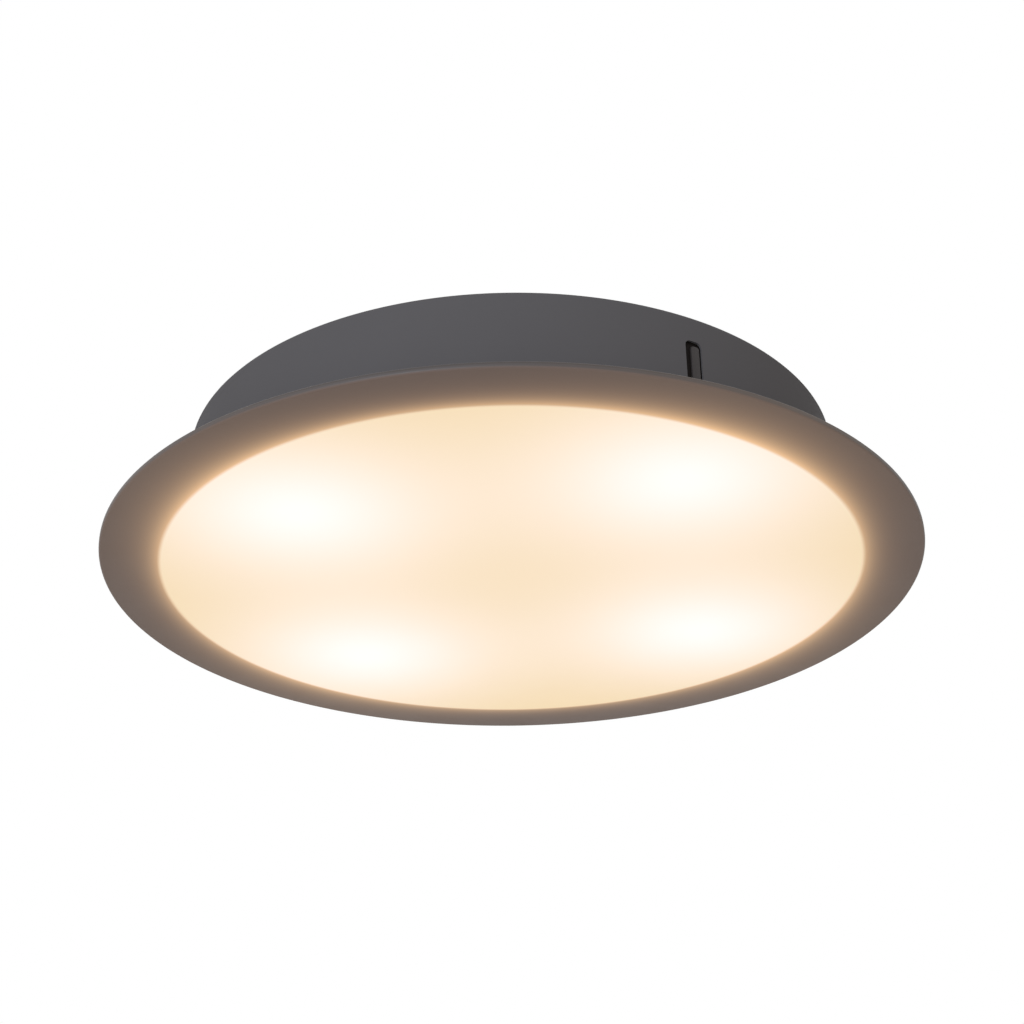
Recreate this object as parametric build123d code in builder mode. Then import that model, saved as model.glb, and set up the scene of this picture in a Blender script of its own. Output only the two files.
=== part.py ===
from build123d import *
import os
from math import cos, radians, sin

# Flush ceiling light: a round pressed drum against the ceiling, a flat glass disc below it.
# Millimetres. The origin is the centre of the ceiling face, +Z points up into the ceiling.

# Drum and glass
overall_height = 63.5
drum_radius = 161.0
drum_corner = 3.0
sheet = 1.0
brim_width = 16.0
rim_land = 9.0
dish_depth = 2.0
dish_bend = 2.5
lit_step = 11.0
glass_rim = 28.0
glass_thickness = 3.0
glass_edge_round = 1.0

# Clearances
running_gap = 0.3
fit_gap = 0.05

# Carrier ring, its bond to the glass and its gasket
bond_thickness = 0.5
carrier_height = 7.2
carrier_foot = 14.0
carrier_flange = 9.6
carrier_foot_bend = 2.0
carrier_flange_bend = 1.0
gasket_thickness = 1.5
gasket_width = 9.0

# Clips and the slots in the drum wall
clip_count = 3
clip_start = 59.9
slot_width = 8.4
slot_corner = 2.6
slot_drop = 13.6
slot_overcut = 1.3
blade_width = 16.0
blade_thickness = 0.8
blade_corner = 3.0
blade_cover = 2.0
blade_setback = 0.6
rib_width = 4.3
rib_corner = 1.3
rib_shift = 1.2
rib_top_gap = 2.0
clip_foot_length = 10.0
clip_rivet_inset = 3.2
clip_rivet_spread = 10.0
clip_rivet_shank = 1.4
clip_rivet_head = 2.5
clip_rivet_head_height = 1.0

# Lamps
lamp_count = 4
lamp_start = 36.4
lamp_inset = 36.0
lamp_drop = 19.0
cover_radius = 8.0
cover_wall = 1.0
cover_straight = 34.0
base_radius = 8.6
base_length = 13.0
base_edge = 0.8
plug_length = 3.0
board_width = 9.0
board_thickness = 1.2
board_length = 32.0
pin_radius = 1.2
pin_spacing = 9.0
pin_length = 15.0

# Lampholders and their brackets
holder_radius = 10.0
holder_length = 24.0
holder_edge = 0.8
holder_bore_depth = 18.0
contact_wall = 0.5
contact_length = 10.0
contact_start = 4.0
bracket_sheet = 1.2
bracket_width = 22.0
bracket_skirt = 11.0
bracket_corner = 4.0
bracket_foot = 18.0
lead_window = 4.2
holder_screw_spacing = 14.0
holder_screw_radius = 1.45
holder_screw_depth = 5.0
holder_screw_head = 2.7
holder_screw_head_height = 2.0
bracket_rivet_spacing = 12.0
bracket_rivet_shank = 1.6
bracket_rivet_head = 3.0
bracket_rivet_head_height = 1.2
rivet_tail_setback = 1.8

# Ceiling screws and cable inlet
bolt_count = 4
bolt_circle = 100.0
bolt_start = 78.0
bolt_hole = 2.75
inlet_x = 40.0
inlet_y = -40.0
inlet_hole = 8.0
grommet_bore = 5.0
grommet_lip = 3.0
grommet_top = 1.6
grommet_low = 3.0

# Terminal block
block_length = 44.0
block_width = 20.0
block_height = 15.0
block_edge = 1.0
pole_pitch = 14.0
clamp_row_spacing = 10.0
clamp_screw_radius = 2.0
clamp_screw_length = 3.5
clamp_screw_recess = 1.0
clamp_slot_width = 0.8
clamp_slot_depth = 0.9
fixing_spacing = 14.0
fixing_shank = 1.5
fixing_head = 2.6
fixing_head_height = 2.0
fixing_recess = 4.0

# Leads, saddles and earth point
lead_radius = 1.1
lead_bend = 9.0
lead_drop_bend = 6.0
lead_pair_spacing = 4.8
lead_entry_offset = 1.7
lead_entry_depth = 4.0
live_drop = 3.0
lead_level_step = 3.0
live_lead_out = 13.0
neutral_lead_out = 10.0
lead_tail = 17.0
saddle_setback = 25.0
saddle_span = 15.0
saddle_depth = 6.0
saddle_wall = 1.6
saddle_room = 0.6
earth_y = 45.0
earth_screw_radius = 2.0
earth_head_radius = 3.5
earth_head_height = 2.4
earth_tag_radius = 4.2
earth_tag_thickness = 0.8
earth_tag_tongue = 3.0
earth_tag_length = 8.0
earth_lead_drop = 9.0
earth_lead_rise = 14.0
earth_lead_slope = 7.0

# Levels, from the glass up to the ceiling plate
glass_bottom = -overall_height
glass_top = glass_bottom + glass_thickness
bond_top = glass_top + bond_thickness
carrier_top = bond_top + carrier_height
gasket_top = carrier_top + gasket_thickness
brim_bottom = gasket_top + running_gap
brim_top = brim_bottom + sheet
field_top = -dish_depth
field_under = field_top - sheet

# Radii
wall_inner = drum_radius - sheet
brim_radius = drum_radius + brim_width
dish_radius = drum_radius - rim_land
lit_radius = drum_radius + lit_step
glass_radius = lit_radius + glass_rim
carrier_outer = lit_radius + sheet
carrier_foot_radius = lit_radius + carrier_foot
carrier_flange_radius = lit_radius - carrier_flange
gasket_outer = carrier_outer
gasket_inner = gasket_outer - gasket_width

# Clips: distances from the lamp's axis, and levels
blade_outer = wall_inner - blade_setback
blade_inner = blade_outer - blade_thickness
slot_top = -slot_drop
blade_top = slot_top + blade_cover
rib_top = slot_top - rib_top_gap
clip_foot_top = carrier_top - sheet
clip_foot_bottom = clip_foot_top - blade_thickness
clip_foot_inner = blade_outer + running_gap
clip_foot_outer = clip_foot_inner + clip_foot_length
clip_rivet_distance = clip_foot_outer - clip_rivet_inset
clip_angles = [clip_start + number * 360 / clip_count for number in range(clip_count)]

# Lamps: places along the lamp's own axis, from its holder towards its tip
lamp_circle = drum_radius - lamp_inset
lamp_level = field_under - lamp_drop
cover_foot = -cover_straight / 2
base_back = cover_foot - base_length
holder_front = base_back - running_gap
holder_back = holder_front - holder_length
web_back = holder_back - bracket_sheet
lead_turn = holder_back - lead_tail
cover_inner = cover_radius - cover_wall
plug_radius = cover_inner - fit_gap
contact_bore = pin_radius + running_gap
contact_outer = contact_bore + contact_wall
holder_bore = contact_outer + fit_gap
lamp_angles = [lamp_start + number * 360 / lamp_count for number in range(lamp_count)]

# Lead levels
live_level = field_under - live_drop
neutral_level = live_level - lead_level_step
earth_level = field_under - earth_lead_drop
block_bottom = field_under - block_height


def radial_plane(angle):
    """Upright plane through the lamp's axis that faces outward: x sideways, y up."""
    outward = (cos(radians(angle)), sin(radians(angle)), 0)
    sideways = (-sin(radians(angle)), cos(radians(angle)), 0)
    return Plane(origin=(0, 0, 0), x_dir=sideways, z_dir=outward)


def lamp_plane(angle):
    """Plane across one lamp at its middle: x outward, y down, normal towards the lamp's tip."""
    outward = (cos(radians(angle)), sin(radians(angle)), 0)
    sideways = (-sin(radians(angle)), cos(radians(angle)), 0)
    middle = (lamp_circle * outward[0], lamp_circle * outward[1], lamp_level)
    return Plane(origin=middle, x_dir=outward, z_dir=sideways)


def ring(inner, outer, bottom, height):
    """Flat ring round the lamp's axis."""
    with BuildPart() as piece:
        with BuildSketch(Plane.XY.offset(bottom)):
            Circle(outer)
            Circle(inner, mode=Mode.SUBTRACT)
        extrude(amount=height)
    return piece


def rounded_strip(width, top, bottom, corner, shift=0):
    """Upright strip with rounded corners, drawn in the sketch that is open."""
    with Locations((shift, (top + bottom) / 2)):
        RectangleRounded(width, top - bottom, corner)


def save(piece, name):
    """Label a finished piece and write its file."""
    piece.part.label = name
    export_step(piece.part, f"parts/{name}.step")


def bracket_rivet_spots():
    """Rivet places of all lampholder brackets, seen from above."""
    spots = []
    for angle in lamp_angles:
        plane = lamp_plane(angle)
        along = web_back + (bracket_sheet + bracket_foot) / 2
        for side in (-1, 1):
            spot = plane.from_local_coords((side * bracket_rivet_spacing / 2, 0, along))
            spots.append((spot.X, spot.Y))
    return spots


def clip_rivet_spots():
    """Rivet places of all clip feet, seen from above."""
    spots = []
    for angle in clip_angles:
        plane = radial_plane(angle)
        for side in (-1, 1):
            spot = plane.from_local_coords((side * clip_rivet_spread / 2, 0, clip_rivet_distance))
            spots.append((spot.X, spot.Y))
    return spots


def lead_points(number, live):
    """Route of one lamp's live or neutral lead, from the terminal block to the lampholder."""
    face = 1 if number < lamp_count / 2 else -1
    turn_side = 1 if number in (0, lamp_count - 1) else -1
    pole = -pole_pitch if live else pole_pitch
    level = live_level if live else neutral_level
    out = live_lead_out if live else neutral_lead_out
    offset_out = lead_pair_spacing / 2 if live else -lead_pair_spacing / 2
    entry_x = pole + turn_side * lead_entry_offset
    plane = lamp_plane(lamp_angles[number])
    turn = plane.from_local_coords((offset_out, 0, lead_turn))
    end = plane.from_local_coords((offset_out, 0, holder_back))
    return [
        Vector(entry_x, face * (block_width / 2 - lead_entry_depth), level),
        Vector(entry_x, face * (block_width / 2 + out), level),
        Vector(turn.X, turn.Y, level),
        Vector(turn.X, turn.Y, lamp_level),
        end,
    ]


os.makedirs("parts", exist_ok=True)
rivet_spots = bracket_rivet_spots()
clip_spots = clip_rivet_spots()
fixing_spots = [(-fixing_spacing / 2, 0), (fixing_spacing / 2, 0)]
clamp_spots = [
    (column * pole_pitch, row * clamp_row_spacing / 2) for column in (-1, 0, 1) for row in (-1, 1)
]
live_routes = [lead_points(number, True) for number in range(lamp_count)]
neutral_routes = [lead_points(number, False) for number in range(lamp_count)]
earth_end = earth_y - earth_head_radius - running_gap
earth_route = [
    Vector(0, block_width / 2 - lead_entry_depth, earth_level),
    Vector(0, block_width / 2 + earth_lead_rise, earth_level),
    Vector(0, block_width / 2 + earth_lead_rise + earth_lead_slope,
           field_under - earth_tag_thickness - lead_radius - fit_gap),
    Vector(0, earth_end, field_under - earth_tag_thickness - lead_radius - fit_gap),
]

# Drum housing: one pressing, dished where it meets the ceiling
with BuildPart() as housing:
    with BuildSketch(Plane.XZ):
        with BuildLine():
            FilletPolyline(
                (0, field_top),
                (dish_radius, field_top),
                (dish_radius + dish_depth, 0),
                (drum_radius, 0),
                (drum_radius, brim_bottom),
                radius=[dish_bend, dish_bend, drum_corner],
            )
            offset(amount=sheet, side=Side.RIGHT)
        make_face()
    revolve(axis=Axis.Z)
    for angle in clip_angles:
        with BuildSketch(radial_plane(angle).offset(blade_inner)):
            rounded_strip(slot_width, slot_top, brim_bottom - slot_corner, slot_corner)
        extrude(amount=drum_radius + slot_overcut - blade_inner, mode=Mode.SUBTRACT)
    with BuildSketch(Plane.XY.offset(field_under)):
        with PolarLocations(bolt_circle, bolt_count, start_angle=bolt_start):
            Circle(bolt_hole)
        with Locations(*rivet_spots):
            Circle(bracket_rivet_shank + fit_gap)
        with Locations(*fixing_spots):
            Circle(fixing_shank + fit_gap)
        with Locations((inlet_x, inlet_y)):
            Circle(inlet_hole)
        with Locations((0, earth_y)):
            Circle(earth_screw_radius + fit_gap)
    extrude(amount=sheet, mode=Mode.SUBTRACT)
save(housing, "housing")

# Flat brim round the foot of the drum
brim_ring = ring(drum_radius + fit_gap, brim_radius, brim_bottom, sheet)
save(brim_ring, "brim_ring")

# Rubber grommet in the cable inlet
with BuildPart() as cable_grommet:
    with BuildSketch(Plane.XY.offset(field_under - grommet_low)):
        with Locations((inlet_x, inlet_y)):
            Circle(inlet_hole + grommet_lip)
    extrude(amount=grommet_low)
    with BuildSketch(Plane.XY.offset(field_under)):
        with Locations((inlet_x, inlet_y)):
            Circle(inlet_hole - fit_gap)
    extrude(amount=sheet)
    with BuildSketch(Plane.XY.offset(field_top)):
        with Locations((inlet_x, inlet_y)):
            Circle(inlet_hole + grommet_lip)
    extrude(amount=grommet_top)
    with BuildSketch(Plane.XY.offset(field_under - grommet_low)):
        with Locations((inlet_x, inlet_y)):
            Circle(grommet_bore)
    extrude(amount=grommet_low + sheet + grommet_top, mode=Mode.SUBTRACT)
save(cable_grommet, "cable_grommet")

# Terminal block under the middle of the plate, wired from its two long sides
with BuildPart() as terminal_block:
    with BuildSketch(Plane.XY.offset(block_bottom)):
        Rectangle(block_length, block_width)
    extrude(amount=block_height)
    chamfer(terminal_block.edges().filter_by(Axis.Z), block_edge)
    chamfer(terminal_block.faces().sort_by(Axis.Z)[0].edges(), block_edge)
    with BuildSketch(Plane.XY.offset(block_bottom)):
        with Locations(*clamp_spots):
            Circle(clamp_screw_radius + fit_gap)
    extrude(amount=clamp_screw_length + clamp_screw_recess, mode=Mode.SUBTRACT)
    with BuildSketch(Plane.XY.offset(block_bottom)):
        with Locations(*fixing_spots):
            Circle(fixing_head + running_gap)
    extrude(amount=fixing_recess + fixing_head_height, mode=Mode.SUBTRACT)
    with BuildSketch(Plane.XY.offset(block_bottom)):
        with Locations(*fixing_spots):
            Circle(fixing_shank + fit_gap)
    extrude(amount=block_height, mode=Mode.SUBTRACT)
    for route in live_routes + neutral_routes + [earth_route]:
        inward = (route[0] - route[1]).normalized()
        mouth = route[0] - inward * lead_entry_depth
        with BuildSketch(Plane(origin=mouth, z_dir=inward)):
            Circle(lead_radius + running_gap)
        extrude(amount=lead_entry_depth, mode=Mode.SUBTRACT)
save(terminal_block, "terminal_block")

# Slotted clamp screws in the block's underside
with BuildPart() as clamp_screws:
    with BuildSketch(Plane.XY.offset(block_bottom + clamp_screw_recess)):
        with Locations(*clamp_spots):
            Circle(clamp_screw_radius)
    extrude(amount=clamp_screw_length)
    with BuildSketch(Plane.XY.offset(block_bottom + clamp_screw_recess)):
        with Locations(*clamp_spots):
            Rectangle(2 * clamp_screw_radius, clamp_slot_width)
    extrude(amount=clamp_slot_depth, mode=Mode.SUBTRACT)
save(clamp_screws, "clamp_screws")

# Two screws that fix the block to the plate
with BuildPart() as terminal_screws:
    head_under = block_bottom + fixing_recess
    with BuildSketch(Plane.XY.offset(head_under)):
        with Locations(*fixing_spots):
            Circle(fixing_head)
    extrude(amount=fixing_head_height)
    with BuildSketch(Plane.XY.offset(head_under + fixing_head_height)):
        with Locations(*fixing_spots):
            Circle(fixing_shank)
    extrude(amount=field_top - head_under - fixing_head_height)
    with BuildSketch(Plane.XY.offset(head_under)):
        with Locations(*fixing_spots):
            Rectangle(2 * fixing_head, clamp_slot_width)
    extrude(amount=clamp_slot_depth, mode=Mode.SUBTRACT)
save(terminal_screws, "terminal_screws")

# Earth point: a tag under a screw
with BuildPart() as earth_tag:
    with BuildSketch(Plane.XY.offset(field_under - earth_tag_thickness)):
        with Locations((0, earth_y)):
            Circle(earth_tag_radius)
        with Locations((0, earth_y - earth_tag_radius - earth_tag_length / 2)):
            Rectangle(earth_tag_tongue, earth_tag_length + earth_tag_tongue)
        with Locations((0, earth_y)):
            Circle(earth_screw_radius + fit_gap, mode=Mode.SUBTRACT)
    extrude(amount=earth_tag_thickness)
save(earth_tag, "earth_tag")

with BuildPart() as earth_screw:
    with BuildSketch(Plane.XY.offset(field_under - earth_tag_thickness - earth_head_height)):
        with Locations((0, earth_y)):
            Circle(earth_head_radius)
    extrude(amount=earth_head_height)
    with BuildSketch(Plane.XY.offset(field_under - earth_tag_thickness)):
        with Locations((0, earth_y)):
            Circle(earth_screw_radius)
    extrude(amount=earth_tag_thickness + sheet)
    with BuildSketch(Plane.XY.offset(field_under - earth_tag_thickness - earth_head_height)):
        with Locations((0, earth_y)):
            Rectangle(2 * earth_head_radius, clamp_slot_width)
    extrude(amount=clamp_slot_depth, mode=Mode.SUBTRACT)
save(earth_screw, "earth_screw")

# Leads: live on the upper level, neutral on the lower, earth below both
lamp_lead_bends = [lead_bend, lead_drop_bend, lead_drop_bend]
earth_lead_bends = [lead_bend, lead_bend]
lead_groups = {
    "live_leads": (live_routes, lamp_lead_bends),
    "neutral_leads": (neutral_routes, lamp_lead_bends),
    "earth_lead": ([earth_route], earth_lead_bends),
}
for name, (routes, bends) in lead_groups.items():
    with BuildPart() as leads:
        for route in routes:
            with BuildLine() as path:
                FilletPolyline(*route, radius=bends)
            with BuildSketch(Plane(origin=path.line @ 0, z_dir=path.line % 0)):
                Circle(lead_radius)
            sweep(path=path.line)
    save(leads, name)

# Saddles that hold each pair of leads to the plate
with BuildPart() as lead_saddles:
    for live_route, neutral_route in zip(live_routes, neutral_routes):
        crossings = []
        for route in (live_route, neutral_route):
            run = (route[2] - route[1]).normalized()
            crossings.append(route[2] - run * saddle_setback)
        middle = (crossings[0] + crossings[1]) / 2
        along = (live_route[2] - live_route[1]).normalized()
        upright = Plane(origin=(middle.X, middle.Y, field_under), x_dir=along.cross(Vector(0, 0, 1)),
                        z_dir=along).offset(-saddle_depth / 2)
        room = field_under - neutral_level + lead_radius + saddle_room
        with BuildSketch(upright):
            with Locations((0, (room + saddle_wall) / 2)):
                Rectangle(saddle_span + 2 * saddle_wall, room + saddle_wall)
            with Locations((0, room / 2)):
                Rectangle(saddle_span, room, mode=Mode.SUBTRACT)
        extrude(amount=saddle_depth)
save(lead_saddles, "lead_saddles")

# Lampholders on their brackets, and the lamps plugged into them
for number, angle in enumerate(lamp_angles, start=1):
    plane = lamp_plane(angle)
    plate_side = lamp_level - field_under
    with BuildPart() as bracket:
        with BuildSketch(plane.offset(web_back)) as web:
            with Locations((0, (plate_side + bracket_skirt) / 2)):
                Rectangle(bracket_width, bracket_skirt - plate_side)
            fillet(web.vertices().group_by(Axis.Y)[-1], bracket_corner)
            Circle(lead_window, mode=Mode.SUBTRACT)
            with GridLocations(0, holder_screw_spacing, 1, 2):
                Circle(holder_screw_radius + fit_gap, mode=Mode.SUBTRACT)
        extrude(amount=bracket_sheet)
        with BuildSketch(plane.offset(web_back)):
            with Locations((0, plate_side + bracket_sheet / 2)):
                Rectangle(bracket_width, bracket_sheet)
        extrude(amount=bracket_sheet + bracket_foot)
        with BuildSketch(Plane.XY.offset(field_under - bracket_sheet)):
            with Locations(*rivet_spots):
                Circle(bracket_rivet_shank + fit_gap)
        extrude(amount=bracket_sheet, mode=Mode.SUBTRACT)
    save(bracket, f"lampholder_bracket_{number}")

    with BuildPart() as holder:
        with BuildSketch(plane.offset(holder_back)):
            Circle(holder_radius)
        extrude(amount=holder_length)
        chamfer(holder.edges().filter_by(GeomType.CIRCLE), holder_edge)
        with BuildSketch(plane.offset(holder_front)):
            with GridLocations(pin_spacing, 0, 2, 1):
                Circle(holder_bore)
        extrude(amount=-holder_bore_depth, mode=Mode.SUBTRACT)
        with BuildSketch(plane.offset(holder_back)):
            with GridLocations(0, holder_screw_spacing, 1, 2):
                Circle(holder_screw_radius + fit_gap)
        extrude(amount=holder_screw_depth, mode=Mode.SUBTRACT)
    save(holder, f"lampholder_{number}")

    with BuildPart() as lamp_base:
        with BuildSketch(plane.offset(base_back)):
            Circle(base_radius)
        extrude(amount=base_length)
        chamfer(lamp_base.edges().filter_by(GeomType.CIRCLE), base_edge)
        with BuildSketch(plane.offset(cover_foot)):
            Circle(plug_radius)
        extrude(amount=plug_length)
    save(lamp_base, f"lamp_base_{number}")

    with BuildPart() as lamp_pins:
        with BuildSketch(plane.offset(base_back)):
            with GridLocations(pin_spacing, 0, 2, 1):
                Circle(pin_radius)
        extrude(amount=-pin_length)
    save(lamp_pins, f"lamp_pins_{number}")

    with BuildPart() as lamp_cover:
        with BuildSketch(plane.offset(cover_foot)):
            Circle(cover_radius)
        extrude(amount=cover_straight)
        with Locations(plane.offset(-cover_foot)):
            Sphere(cover_radius)
        with BuildSketch(plane.offset(cover_foot)):
            Circle(cover_inner)
        extrude(amount=cover_straight, mode=Mode.SUBTRACT)
        with Locations(plane.offset(-cover_foot)):
            Sphere(cover_inner, mode=Mode.SUBTRACT)
    save(lamp_cover, f"lamp_cover_{number}")

    with BuildPart() as led_board:
        with BuildSketch(plane.offset(cover_foot + plug_length)):
            Rectangle(board_width, board_thickness)
        extrude(amount=board_length)
    save(led_board, f"led_board_{number}")

# Contact sleeves in the holders' bores
with BuildPart() as holder_contacts:
    for angle in lamp_angles:
        with BuildSketch(lamp_plane(angle).offset(holder_front - contact_start)):
            with GridLocations(pin_spacing, 0, 2, 1):
                Circle(contact_outer)
                Circle(contact_bore, mode=Mode.SUBTRACT)
        extrude(amount=-contact_length)
save(holder_contacts, "holder_contacts")

# Screws that hold each lampholder to its bracket
with BuildPart() as holder_screws:
    for angle in lamp_angles:
        with BuildSketch(lamp_plane(angle).offset(web_back)):
            with GridLocations(0, holder_screw_spacing, 1, 2):
                Circle(holder_screw_head)
        extrude(amount=-holder_screw_head_height)
        with BuildSketch(lamp_plane(angle).offset(web_back)):
            with GridLocations(0, holder_screw_spacing, 1, 2):
                Circle(holder_screw_radius)
        extrude(amount=bracket_sheet + holder_screw_depth - fit_gap)
save(holder_screws, "holder_screws")

# Rivets that hold each bracket to the plate
with BuildPart() as bracket_rivets:
    rivet_under = field_under - bracket_sheet
    with BuildSketch(Plane.XY.offset(rivet_under - bracket_rivet_head_height)):
        with Locations(*rivet_spots):
            Circle(bracket_rivet_head)
    extrude(amount=bracket_rivet_head_height)
    with BuildSketch(Plane.XY.offset(rivet_under)):
        with Locations(*rivet_spots):
            Circle(bracket_rivet_shank)
    extrude(amount=bracket_sheet + sheet + dish_depth - rivet_tail_setback)
save(bracket_rivets, "bracket_rivets")

# Glass disc with a rounded edge
with BuildPart() as glass_disc:
    with BuildSketch(Plane.XY.offset(glass_bottom)):
        Circle(glass_radius)
    extrude(amount=glass_thickness)
    fillet(glass_disc.edges().filter_by(GeomType.CIRCLE), glass_edge_round)
save(glass_disc, "glass_disc")

# Carrier ring: a foot bonded to the glass, a web round the lit field and a flange under the brim
with BuildPart() as carrier_ring:
    with BuildSketch(Plane.XZ):
        with BuildLine():
            FilletPolyline(
                (carrier_foot_radius, bond_top),
                (lit_radius, bond_top),
                (lit_radius, carrier_top - sheet),
                (carrier_flange_radius, carrier_top - sheet),
                radius=[carrier_foot_bend, carrier_flange_bend],
            )
            offset(amount=sheet, side=Side.RIGHT)
        make_face()
    revolve(axis=Axis.Z)
    with BuildSketch(Plane.XY.offset(carrier_top - sheet)):
        with Locations(*clip_spots):
            Circle(clip_rivet_shank + fit_gap)
    extrude(amount=sheet, mode=Mode.SUBTRACT)
save(carrier_ring, "carrier_ring")

bond_ring = ring(lit_radius + carrier_foot_bend, carrier_foot_radius, glass_top, bond_thickness)
save(bond_ring, "bond_ring")

light_gasket = ring(gasket_inner, gasket_outer, carrier_top, gasket_thickness)
save(light_gasket, "light_gasket")

# Spring clips: a foot riveted under the carrier's flange, a blade that stands behind each slot
with BuildPart() as clip_feet:
    for angle in clip_angles:
        with BuildSketch(radial_plane(angle).offset(clip_foot_inner)):
            with Locations((0, (clip_foot_top + clip_foot_bottom) / 2)):
                Rectangle(blade_width, blade_thickness)
        extrude(amount=clip_foot_length)
    with BuildSketch(Plane.XY.offset(clip_foot_bottom)):
        with Locations(*clip_spots):
            Circle(clip_rivet_shank + fit_gap)
    extrude(amount=blade_thickness, mode=Mode.SUBTRACT)
save(clip_feet, "clip_feet")

with BuildPart() as clip_rivets:
    with BuildSketch(Plane.XY.offset(clip_foot_bottom - clip_rivet_head_height)):
        with Locations(*clip_spots):
            Circle(clip_rivet_head)
    extrude(amount=clip_rivet_head_height)
    with BuildSketch(Plane.XY.offset(clip_foot_bottom)):
        with Locations(*clip_spots):
            Circle(clip_rivet_shank)
    extrude(amount=blade_thickness + sheet)
save(clip_rivets, "clip_rivets")

for number, angle in enumerate(clip_angles, start=1):
    with BuildPart() as clip_blade:
        with BuildSketch(radial_plane(angle).offset(blade_inner)) as blade_face:
            with Locations((0, (blade_top + clip_foot_bottom) / 2)):
                Rectangle(blade_width, blade_top - clip_foot_bottom)
            fillet(blade_face.vertices().group_by(Axis.Y)[-1], blade_corner)
        extrude(amount=blade_thickness)
        with BuildSketch(radial_plane(angle).offset(blade_outer)):
            rounded_strip(rib_width, rib_top, brim_top, rib_corner, rib_shift)
        extrude(amount=drum_radius - running_gap - blade_outer)
    save(clip_blade, f"clip_blade_{number}")
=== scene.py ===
import logging
import math
from dataclasses import dataclass
from enum import Enum
from typing import Callable, Iterable, Optional, Sequence, Union

import bmesh
import bpy
from mathutils import Matrix, Vector


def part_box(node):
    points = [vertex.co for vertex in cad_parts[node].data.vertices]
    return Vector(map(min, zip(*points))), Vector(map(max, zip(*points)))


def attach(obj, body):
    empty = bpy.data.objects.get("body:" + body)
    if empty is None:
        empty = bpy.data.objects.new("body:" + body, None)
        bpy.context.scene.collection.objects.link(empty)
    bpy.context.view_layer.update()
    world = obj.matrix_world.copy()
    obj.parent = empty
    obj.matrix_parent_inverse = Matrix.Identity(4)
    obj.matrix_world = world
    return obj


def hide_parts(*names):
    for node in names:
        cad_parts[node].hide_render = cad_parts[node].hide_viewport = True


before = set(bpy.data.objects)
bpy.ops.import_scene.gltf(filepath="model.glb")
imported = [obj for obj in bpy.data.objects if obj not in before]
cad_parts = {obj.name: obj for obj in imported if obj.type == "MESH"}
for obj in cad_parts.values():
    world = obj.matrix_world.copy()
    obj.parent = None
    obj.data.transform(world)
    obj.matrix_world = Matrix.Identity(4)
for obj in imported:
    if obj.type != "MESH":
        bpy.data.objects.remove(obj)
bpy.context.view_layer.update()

# A flush round ceiling light, lit. Metres, +Z up into the ceiling, origin in the middle of the ceiling face.
MM = 0.001
MERGE = 0.001 * MM
RING_STEPS = 288
SMALL_STEPS = 48
PIN_STEPS = 24
RIB_STEPS = 8
BEND_STEPS = 6
CORNER_STEPS = 8
EDGE_STEPS = 4
CREASE = 32.0
FULL_TURN = 360.0
ROUND_PROFILE = 0.5
KEEP_MATERIAL = -1
CLOUD_DETAIL = 3.0
FINE_DETAIL = 2.0
LINE_DETAIL = 4.0
NOISE_RANGE = (0.3, 0.7)
METAL_RANGE = (0.2, 0.8)
UPRIGHT = Matrix(((0, 0, 1, 0), (1, 0, 0, 0), (0, 1, 0, 0), (0, 0, 0, 1)))
LOG = logging.getLogger("ceiling_light")

Colour = tuple[float, float, float]
Outline = Sequence[tuple[float, float]]
Corner = Union[bmesh.types.BMVert, bmesh.types.BMEdge]
Source = Union[float, Colour, Vector, bpy.types.NodeSocket]
WHITE: Colour = (1.0, 1.0, 1.0)
BLACK: Colour = (0.0, 0.0, 0.0)


class Body(Enum):
    """Moving bodies of the light that have one name of their own."""

    FIXTURE = "fixture"
    DIFFUSER = "diffuser"


class Slot(Enum):
    """Finish slots in the record, for the pieces that are built here."""

    DRUM_PAINT = "drum_paint"
    OPAL_GLASS = "opal_glass"
    WHITE_PAINT = "white_paint"
    SPRING_STEEL = "spring_steel"
    BLACK_RUBBER = "black_rubber"
    GREY_FOAM = "grey_foam"
    CLEAR_BOND = "clear_bond"
    CERAMIC = "holder_ceramic"
    LAMP_BASE = "lamp_base_plastic"
    LAMP_COVER = "lamp_cover_plastic"
    PIN_METAL = "pin_metal"
    LIVE = "live_insulation"
    NEUTRAL = "neutral_insulation"
    EARTH = "earth_insulation"


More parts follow.
